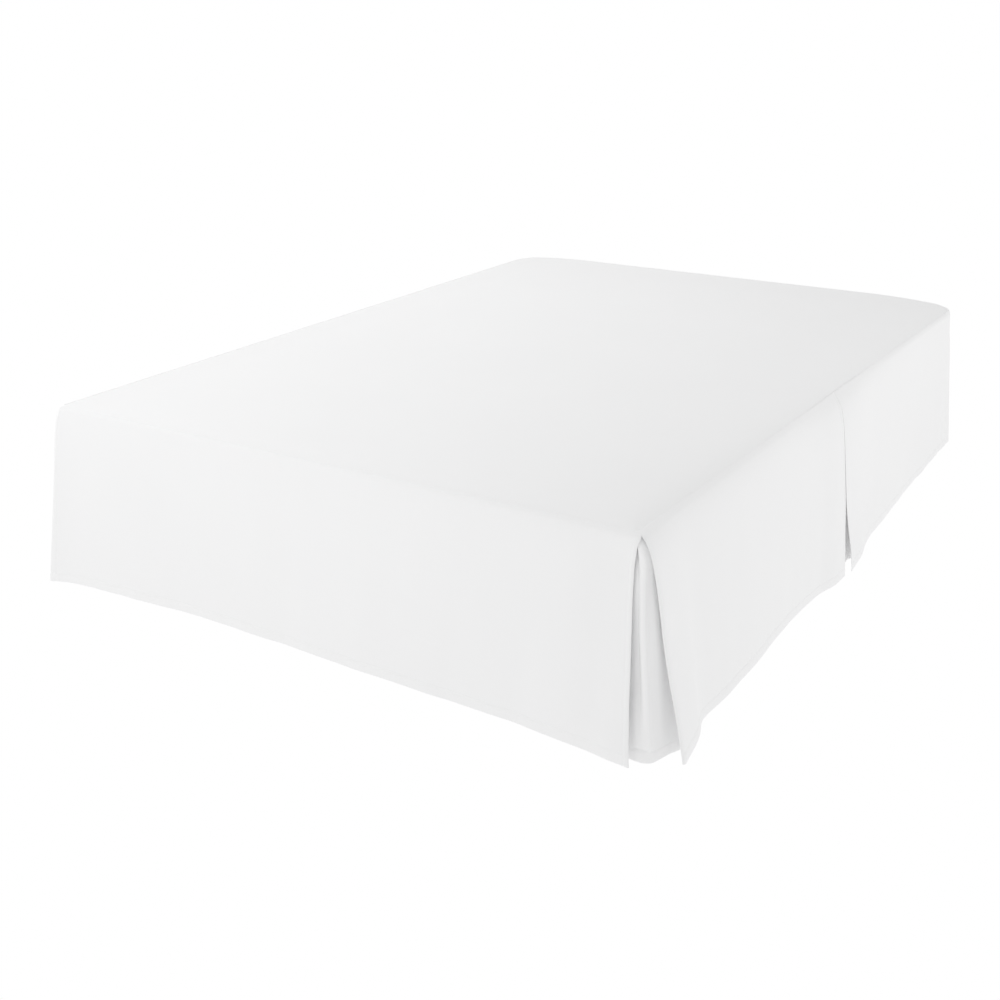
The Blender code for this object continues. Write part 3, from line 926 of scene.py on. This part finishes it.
# ---------------------------------------------------------------- box spring
box_x, box_y = BED_W / 2 - BOX_INSET, BED_L / 2 - BOX_INSET
BOX_FINE = (0.0, 0.0012, 0.003, 0.0055, 0.009, 0.013, 0.018, 0.028, 0.045)
xs = spaced(-box_x, box_x, 0.030, BOX_FINE)
ys = spaced(-box_y, box_y, 0.030, BOX_FINE)
gx, gy = np.meshgrid(xs, ys)
inside = np.minimum(box_x - np.abs(gx), box_y - np.abs(gy))
share = np.clip(1 - inside / BOX_EDGE_R, 0, 1)
turn = BOX_EDGE_R * (1 - np.sqrt(np.maximum(1 - share ** 2, 0)))
gz = BOX_TOP + swell(gx, gy) - turn
px, py = round_corners(gx, gy, box_x, box_y, BOX_CORNER_R, BOX_CORNER_R)
top = np.dstack((px, py, gz)).reshape(-1, 3)
rows_n, cols_n = gx.shape
index = np.arange(rows_n * cols_n).reshape(rows_n, cols_n)
loop = np.concatenate((index[0, :-1], index[:-1, -1], index[-1, :0:-1], index[:0:-1, 0]))
a, b, c, d = index[:-1, :-1], index[:-1, 1:], index[1:, 1:], index[1:, :-1]
points, faces = [top], [np.stack([a, b, c, d], -1).reshape(-1, 4)]
total, m = len(top), len(loop)
edge = top[loop]
ox, oy = outline_normal(edge[:, 0], edge[:, 1], box_x, box_y, BOX_CORNER_R, BOX_CORNER_R)
out = np.stack([ox, oy, np.zeros(len(ox))], -1)
run = np.concatenate(([0], np.cumsum(np.linalg.norm(np.diff(edge[:, :2], axis=0), axis=1))))
uvs = [np.stack([gx.ravel(), gy.ravel()], -1)]
top_z = BOX_TOP - BOX_EDGE_R


def box_side(z):
    """How far the side stands in from its plane: a welt under the top edge and another
    over the bottom one, and a border between them that is pulled in by both."""
    inset = 0.0022 - 0.0016 * bell(z - (top_z + BOX_BOTTOM) / 2, 0.075)
    for at in (top_z - 0.010, BOX_BOTTOM + 0.010):
        inset = inset - 0.0022 * max(0.0, 1 - ((z - at) / 0.0034) ** 2) ** 0.5
        inset = inset + 0.0016 * (bell(z - at - 0.0048, 0.0016) + bell(z - at + 0.0048, 0.0016))
    return max(inset, 0.0)


heights = []
z = top_z - 0.003
while z > BOX_BOTTOM + 0.004:
    heights.append(z)
    close = min(abs(z - (top_z - 0.010)), abs(z - (BOX_BOTTOM + 0.010)))
    z -= 0.0011 if close < 0.009 else 0.006
last = loop
gather = ripple(run, 91, 0.13, 0.045)[:, None]
for z in heights:
    inset = box_side(z) + 0.0004 * gather * bell(z - (top_z + BOX_BOTTOM) / 2, 0.09)
    p = edge - out * np.maximum(inset, 0.0)
    p[:, 2] = z
    last, one = add_ring(p, np.stack([run, np.full(m, z)], -1)), last
    join(one, last)
for k in range(0, 5):
    a = pi / 2 * k / 4
    p = edge - out * (0.0022 + 0.004 * (1 - cos(a)))
    p[:, 2] = BOX_BOTTOM + 0.004 * (1 - sin(a))
    last, one = add_ring(p, np.stack([run, p[:, 2]], -1)), last
    join(one, last)
faces = np.concatenate(faces).tolist() + [last[::-1].tolist()]
box = mesh_object("box_spring_cover", np.concatenate(points), faces, np.concatenate(uvs))
outside_out(box)
box.data.set_sharp_from_angle(angle=radians(50))
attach(box, "root")
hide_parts("box_spring")

# ---------------------------------------------------------------- legs
LEGS = (
    ("leg_foot_right", 1, -1), ("leg_foot_left", -1, -1),
    ("leg_middle_right", 1, 0), ("leg_middle_left", -1, 0),
    ("leg_head_right", 1, 1), ("leg_head_left", -1, 1),
)
leg_h = BOX_BOTTOM - 0.0003
TURNED = ((0.0, 0.0), (0.6, 0.0), (0.0, 0.0))
legs = []
for name, side, end in LEGS:
    seg = 56
    rows = []
    for k in range(5):       # foot, eased
        a = pi / 2 * k / 4
        rows.append((LEG_FOOT_R - 0.0018 + 0.0018 * sin(a), 0.0018 * (1 - cos(a))))
    for k in range(1, 25):
        h = 0.0018 + (leg_h - 0.0030) * k / 24
        rows.append((LEG_FOOT_R + (LEG_R - LEG_FOOT_R) * h / leg_h, h))
    for k in range(1, 4):
        a = pi / 2 * k / 3
        rows.append((LEG_R - 0.0012 * (1 - cos(a)), leg_h - 0.0012 + 0.0012 * sin(a)))
    cx = side * (BED_W / 2 - BOX_INSET - LEG_INSET_X)
    cy = end * (BED_L / 2 - BOX_INSET - LEG_INSET_Y)
    points, uvs = [], []
    for r, h in rows:
        for k in range(seg):
            a = 2 * pi * k / seg
            points.append((cx + r * cos(a), cy + r * sin(a), h))
            uvs.append((LEG_R * a, h))
    faces = []
    for j in range(len(rows) - 1):
        for k in range(seg):
            o, i = j * seg + k, j * seg + (k + 1) % seg
            faces.append((o, i, i + seg, o + seg))
    faces.append(tuple(reversed(range(seg))))
    faces.append(tuple(range((len(rows) - 1) * seg, len(rows) * seg)))
    leg = mesh_object(name + "_turned", points, faces, uvs)
    leg.data.set_sharp_from_angle(angle=radians(50))
    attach(leg, "root")
    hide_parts(name)
    legs.append(leg)


# ---------------------------------------------------------------- materials
def node(tree, kind, at, **inputs):
    made = tree.nodes.new(kind)
    made.location = at
    for key, value in inputs.items():
        made.inputs[key.replace("_", " ")].default_value = value
    return made


def maths(tree, operation, a, b=None, c=None):
    made = tree.nodes.new("ShaderNodeMath")
    made.operation = operation
    for i, x in enumerate((a, b, c)):
        if x is None:
            continue
        if isinstance(x, (int, float)):
            made.inputs[i].default_value = x
        else:
            tree.links.new(x, made.inputs[i])
    return made.outputs[0]


def start_material(name):
    made = bpy.data.materials.new(name)
    made.use_nodes = True
    tree = made.node_tree
    shader = tree.nodes["Principled BSDF"]
    return made, tree, shader


def weave_height(tree, vector, pitch):
    """Plain weave: warp and weft pass over and under each other, so that the height is a
    checkerboard of rounded thread crowns, with threads of slightly uneven thickness."""
    split = tree.nodes.new("ShaderNodeSeparateXYZ")
    tree.links.new(vector, split.inputs[0])
    u, v = split.outputs[0], split.outputs[1]
    slub = tree.nodes.new("ShaderNodeTexNoise")
    slub.inputs["Scale"].default_value = 900.0
    slub.inputs["Detail"].default_value = 1.0
    tree.links.new(vector, slub.inputs["Vector"])
    shift = maths(tree, "MULTIPLY", maths(tree, "SUBTRACT", slub.outputs[0], 0.5), 0.5)
    pu = maths(tree, "ADD", maths(tree, "MULTIPLY", u, pi / pitch), shift)
    pv = maths(tree, "ADD", maths(tree, "MULTIPLY", v, pi / pitch), shift)
    su, sv = maths(tree, "SINE", pu), maths(tree, "SINE", pv)
    over = maths(tree, "MULTIPLY", su, sv)
    return maths(tree, "ABSOLUTE", over), maths(tree, "SIGN", over), u, v


def cotton():
    made, tree, shader = start_material("white_cotton")
    link = tree.links.new
    uv = tree.nodes.new("ShaderNodeUVMap")
    uv.uv_map = "cloth"
    height, sign, u, v = weave_height(tree, uv.outputs[0], 0.00034)
    # thread-to-thread variation: long thin noise along warp and along weft
    streaks = []
    for sx, sy in ((2600.0, 9.0), (9.0, 2600.0)):
        scale = tree.nodes.new("ShaderNodeMapping")
        scale.inputs["Scale"].default_value = (sx, sy, 1.0)
        link(uv.outputs[0], scale.inputs[0])
        noise = node(tree, "ShaderNodeTexNoise", (0, 0), Scale=1.0, Detail=2.0)
        link(scale.outputs[0], noise.inputs["Vector"])
        streaks.append(noise.outputs[0])
    thread = maths(tree, "MULTIPLY", maths(tree, "ADD", *streaks), 0.5)
    place = tree.nodes.new("ShaderNodeTexCoord")
    cloud = node(tree, "ShaderNodeTexNoise", (0, 0), Scale=3.1, Detail=3.0, Roughness=0.55)
    link(place.outputs["Object"], cloud.inputs["Vector"])
    tone = maths(tree, "ADD", maths(tree, "MULTIPLY", thread, 0.6),
                 maths(tree, "MULTIPLY", cloud.outputs[0], 0.4))
    ramp = tree.nodes.new("ShaderNodeValToRGB")
    ramp.color_ramp.elements[0].position = 0.30
    ramp.color_ramp.elements[0].color = (0.916, 0.916, 0.918, 1)
    ramp.color_ramp.elements[1].position = 0.70
    ramp.color_ramp.elements[1].color = (0.934, 0.934, 0.935, 1)
    link(tone, ramp.inputs[0])
    link(ramp.outputs[0], shader.inputs["Base Color"])
    rough = maths(tree, "ADD", maths(tree, "MULTIPLY", thread, 0.10), 0.80)
    link(rough, shader.inputs["Roughness"])
    shader.inputs["Specular IOR Level"].default_value = 0.20
    shader.inputs["Sheen Weight"].default_value = 0.10
    shader.inputs["Sheen Roughness"].default_value = 0.45
    bump = tree.nodes.new("ShaderNodeBump")
    bump.inputs["Strength"].default_value = 0.30
    bump.inputs["Distance"].default_value = 0.00003
    both = maths(tree, "ADD", height, maths(tree, "MULTIPLY", thread, 0.7))
    link(both, bump.inputs["Height"])
    link(bump.outputs[0], shader.inputs["Normal"])
    return made


def thread_material():
    made, tree, shader = start_material("white_thread")
    link = tree.links.new
    place = tree.nodes.new("ShaderNodeTexCoord")
    twist = node(tree, "ShaderNodeTexWave", (0, 0), Scale=900.0, Distortion=1.0, Detail=1.0)
    twist.bands_direction = "DIAGONAL"
    link(place.outputs["Object"], twist.inputs["Vector"])
    ramp = tree.nodes.new("ShaderNodeValToRGB")
    ramp.color_ramp.elements[0].color = (0.90, 0.90, 0.902, 1)
    ramp.color_ramp.elements[1].color = (0.93, 0.93, 0.931, 1)
    link(twist.outputs[0], ramp.inputs[0])
    link(ramp.outputs[0], shader.inputs["Base Color"])
    shader.inputs["Roughness"].default_value = 0.55
    shader.inputs["Specular IOR Level"].default_value = 0.30
    bump = tree.nodes.new("ShaderNodeBump")
    bump.inputs["Strength"].default_value = 0.4
    bump.inputs["Distance"].default_value = 0.00005
    link(twist.outputs[0], bump.inputs["Height"])
    link(bump.outputs[0], shader.inputs["Normal"])
    return made


def ticking():
    """Woven box-spring cloth: plain pale ground with narrow pairs of grey stripes."""
    made, tree, shader = start_material("pale_ticking")
    link = tree.links.new
    uv = tree.nodes.new("ShaderNodeUVMap")
    uv.uv_map = "cloth"
    height, sign, u, v = weave_height(tree, uv.outputs[0], 0.0009)
    period = 0.048
    phase = maths(tree, "FRACT", maths(tree, "DIVIDE", u, period))
    stripes = None
    for at, width in ((0.30, 0.055), (0.44, 0.018), (0.16, 0.018)):
        away = maths(tree, "ABSOLUTE", maths(tree, "SUBTRACT", phase, at))
        one = maths(tree, "LESS_THAN", away, width / 2)
        stripes = one if stripes is None else maths(tree, "MAXIMUM", stripes, one)
    mix = tree.nodes.new("ShaderNodeMix")
    mix.data_type = "RGBA"
    mix.inputs["A"].default_value = (0.640, 0.630, 0.600, 1)
    mix.inputs["B"].default_value = (0.400, 0.415, 0.430, 1)
    link(maths(tree, "MULTIPLY", stripes, 0.75), mix.inputs["Factor"])
    noise = node(tree, "ShaderNodeTexNoise", (0, 0), Scale=350.0, Detail=2.0)
    link(uv.outputs[0], noise.inputs["Vector"])
    vary = tree.nodes.new("ShaderNodeHueSaturation")
    link(mix.outputs["Result"], vary.inputs["Color"])
    link(maths(tree, "ADD", maths(tree, "MULTIPLY", noise.outputs[0], 0.20), 0.90), vary.inputs["Value"])
    link(vary.outputs[0], shader.inputs["Base Color"])
    shader.inputs["Roughness"].default_value = 0.85
    shader.inputs["Specular IOR Level"].default_value = 0.25
    shader.inputs["Sheen Weight"].default_value = 0.08
    bump = tree.nodes.new("ShaderNodeBump")
    bump.inputs["Strength"].default_value = 0.5
    bump.inputs["Distance"].default_value = 0.0001
    link(height, bump.inputs["Height"])
    link(bump.outputs[0], shader.inputs["Normal"])
    return made


def stained_wood():
    made, tree, shader = start_material("stained_wood")
    link = tree.links.new
    place = tree.nodes.new("ShaderNodeTexCoord")
    stretch = tree.nodes.new("ShaderNodeMapping")
    stretch.inputs["Scale"].default_value = (60.0, 60.0, 4.0)
    link(place.outputs["Object"], stretch.inputs[0])
    grain = node(tree, "ShaderNodeTexNoise", (0, 0), Scale=1.0, Detail=6.0, Roughness=0.6, Distortion=0.8)
    link(stretch.outputs[0], grain.inputs["Vector"])
    pores = node(tree, "ShaderNodeTexNoise", (0, 0), Scale=7.0, Detail=3.0)
    link(stretch.outputs[0], pores.inputs["Vector"])
    ramp = tree.nodes.new("ShaderNodeValToRGB")
    ramp.color_ramp.elements[0].position = 0.32
    ramp.color_ramp.elements[0].color = (0.085, 0.048, 0.026, 1)
    ramp.color_ramp.elements[1].position = 0.70
    ramp.color_ramp.elements[1].color = (0.230, 0.140, 0.080, 1)
    link(maths(tree, "ADD", maths(tree, "MULTIPLY", grain.outputs[0], 0.75),
               maths(tree, "MULTIPLY", pores.outputs[0], 0.25)), ramp.inputs[0])
    link(ramp.outputs[0], shader.inputs["Base Color"])
    link(maths(tree, "ADD", maths(tree, "MULTIPLY", pores.outputs[0], 0.25), 0.38), shader.inputs["Roughness"])
    shader.inputs["Coat Weight"].default_value = 0.25
    shader.inputs["Coat Roughness"].default_value = 0.30
    bump = tree.nodes.new("ShaderNodeBump")
    bump.inputs["Strength"].default_value = 0.25
    bump.inputs["Distance"].default_value = 0.0004
    link(pores.outputs[0], bump.inputs["Height"])
    link(bump.outputs[0], shader.inputs["Normal"])
    return made


cloth_look, thread_look = cotton(), thread_material()
for cloth, thread in drops.values():
    cloth.data.materials.append(cloth_look)
    thread.data.materials.append(thread_look)
deck.data.materials.append(cloth_look)
head_thread.data.materials.append(thread_look)
box.data.materials.append(ticking())
wood_look = stained_wood()
for leg in legs:
    leg.data.materials.append(wood_look)

# ---------------------------------------------------------------- sheets as they were cut
DROP = 0.443             # drop, its hem and its seam allowance
FLAT = {                 # width of the cut at its hem, height, area as a share
    "foot": (1.478, DROP, 0.94),
    "right_foot": (0.972, DROP, 0.97),
    "right_head": (1.150, DROP, 0.95),
    "left_foot": (0.990, DROP, 0.97),
    "left_head": (1.150, DROP, 0.95),
    "right_corner": (0.300, 0.438, 0.90),
    "left_corner": (0.300, 0.438, 0.90),
    "right_pleat": (0.195, 0.438, 1.0),
    "left_pleat": (0.195, 0.438, 1.0),
}
for key, (width, height, share) in FLAT.items():
    cloth, thread = drops[key]

# ---------------------------------------------------------------- floor, light, camera
WORLD, FLOOR = 0.627, 1.0
LIGHTS = (               # name, kind, energy, place, target, size
    ("sun_right", "SUN", 0.156, (9.397, 0.0, 3.420)),
    ("sun_back_right", "SUN", 0.196, (6.645, 6.645, 3.420)),
    ("sun_left", "SUN", 0.152, (-9.397, 0.0, 3.420)),
    ("soft_left_front", "AREA", 4.2, (-2.0, -2.4, 1.5), (-0.3, -0.6, 0.3), (1.8, 1.8)),
    ("soft_top", "AREA", 4.0, (-0.8, -0.3, 2.6), (-0.2, 0.0, 0.4), (2.0, 2.0)),
    ("soft_left_foot", "AREA", 1.7, (-1.2, -1.6, 1.6), (-0.4, -0.6, 0.3), (1.0, 1.0)),
    ("soft_front", "AREA", 2.8, (0.0, -2.0, 1.8), (0.0, -0.9, 0.25), (1.2, 1.2)),
    ("soft_left", "AREA", 2.8, (-1.6, 0.6, 1.4), (-0.3, 0.0, 0.4), (1.2, 1.2)),
    ("soft_low_front", "AREA", 1.7, (-0.6, -2.6, 0.5), (-0.4, -0.9, 0.2), (1.6, 0.8)),
    ("soft_right", "AREA", 1.6, (1.8, 0.3, 1.0), (0.6, 0.1, 0.25), (1.2, 1.0)),
    ("soft_top_head", "AREA", 2.9, (-0.4, 0.8, 2.0), (-0.3, 0.6, 0.4), (1.5, 1.5)),
    ("soft_top_foot", "AREA", 2.2, (-1.0, -1.0, 2.0), (-0.4, -0.5, 0.3), (1.2, 1.2)),
)
mesh = bpy.data.meshes.new("floor")
mesh.from_pydata([(-300, -300, 0), (300, -300, 0), (300, 300, 0), (-300, 300, 0)], [], [(0, 1, 2, 3)])
floor = bpy.data.objects.new("floor", mesh)
bpy.context.scene.collection.objects.link(floor)
paint, tree, shader = start_material("white_sweep")
shader.inputs["Base Color"].default_value = (0.0, 0.0, 0.0, 1)
shader.inputs["Roughness"].default_value = 1.0
shader.inputs["Specular IOR Level"].default_value = 0.0
shader.inputs["Emission Color"].default_value = (1, 1, 1, 1)
shader.inputs["Emission Strength"].default_value = FLOOR
mesh.materials.append(paint)

world = bpy.data.worlds.new("studio")
bpy.context.scene.world = world
world.use_nodes = True
back = world.node_tree.nodes["Background"]
back.inputs["Color"].default_value = (1, 1, 1, 1)
path = world.node_tree.nodes.new("ShaderNodeLightPath")
seen = maths(world.node_tree, "MULTIPLY_ADD", path.outputs["Is Camera Ray"], 1.0 - WORLD, WORLD)
world.node_tree.links.new(seen, back.inputs["Strength"])


def lamp(name, kind, energy, place, target=(0, 0, 0), size=(1, 1), angle=50):
    """A soft light: a sun or a rectangle, shining from its place towards the target."""
    data = bpy.data.lights.new(name, kind)
    data.energy = energy
    if kind == "SUN":
        data.angle = radians(angle)
    else:
        data.shape = "RECTANGLE"
        data.size, data.size_y = size
    made = bpy.data.objects.new(name, data)
    bpy.context.scene.collection.objects.link(made)
    made.location = place
    made.visible_camera = False
    made.rotation_mode = "QUATERNION"
    made.rotation_quaternion = (Vector(place) - Vector(target)).to_track_quat("Z", "Y")
    return made


for light in LIGHTS:
    lamp(*light)
bpy.context.scene.cycles.max_bounces = 20
bpy.context.scene.cycles.diffuse_bounces = 20

LENS_PX = 1387.3
camera_data = bpy.data.cameras.new("camera")
camera_data.sensor_width = 36.0
camera_data.lens = 36.0 * LENS_PX / 1000.0
camera_data.clip_start, camera_data.clip_end = 0.05, 500.0
camera = bpy.data.objects.new("camera", camera_data)
bpy.context.scene.collection.objects.link(camera)
yaw, pitch, roll = radians(-32.214), radians(20.909), radians(-0.238)
forward = Vector((sin(yaw) * cos(pitch), cos(yaw) * cos(pitch), -sin(pitch)))
right = Vector((cos(yaw), -sin(yaw), 0.0))
above = right.cross(forward)
r2 = right * cos(roll) + above * sin(roll)
u2 = above * cos(roll) - right * sin(roll)
camera.matrix_world = Matrix((
    (r2.x, u2.x, -forward.x, 1.5988),
    (r2.y, u2.y, -forward.y, -2.8524),
    (r2.z, u2.z, -forward.z, 1.2677),
    (0, 0, 0, 1),
))
bpy.context.scene.camera = camera
bpy.context.scene.view_settings.view_transform = "Standard"
bpy.context.scene.view_settings.look = "None"
bpy.context.scene.view_settings.exposure = 0.0
bpy.context.scene.view_settings.gamma = 1.0
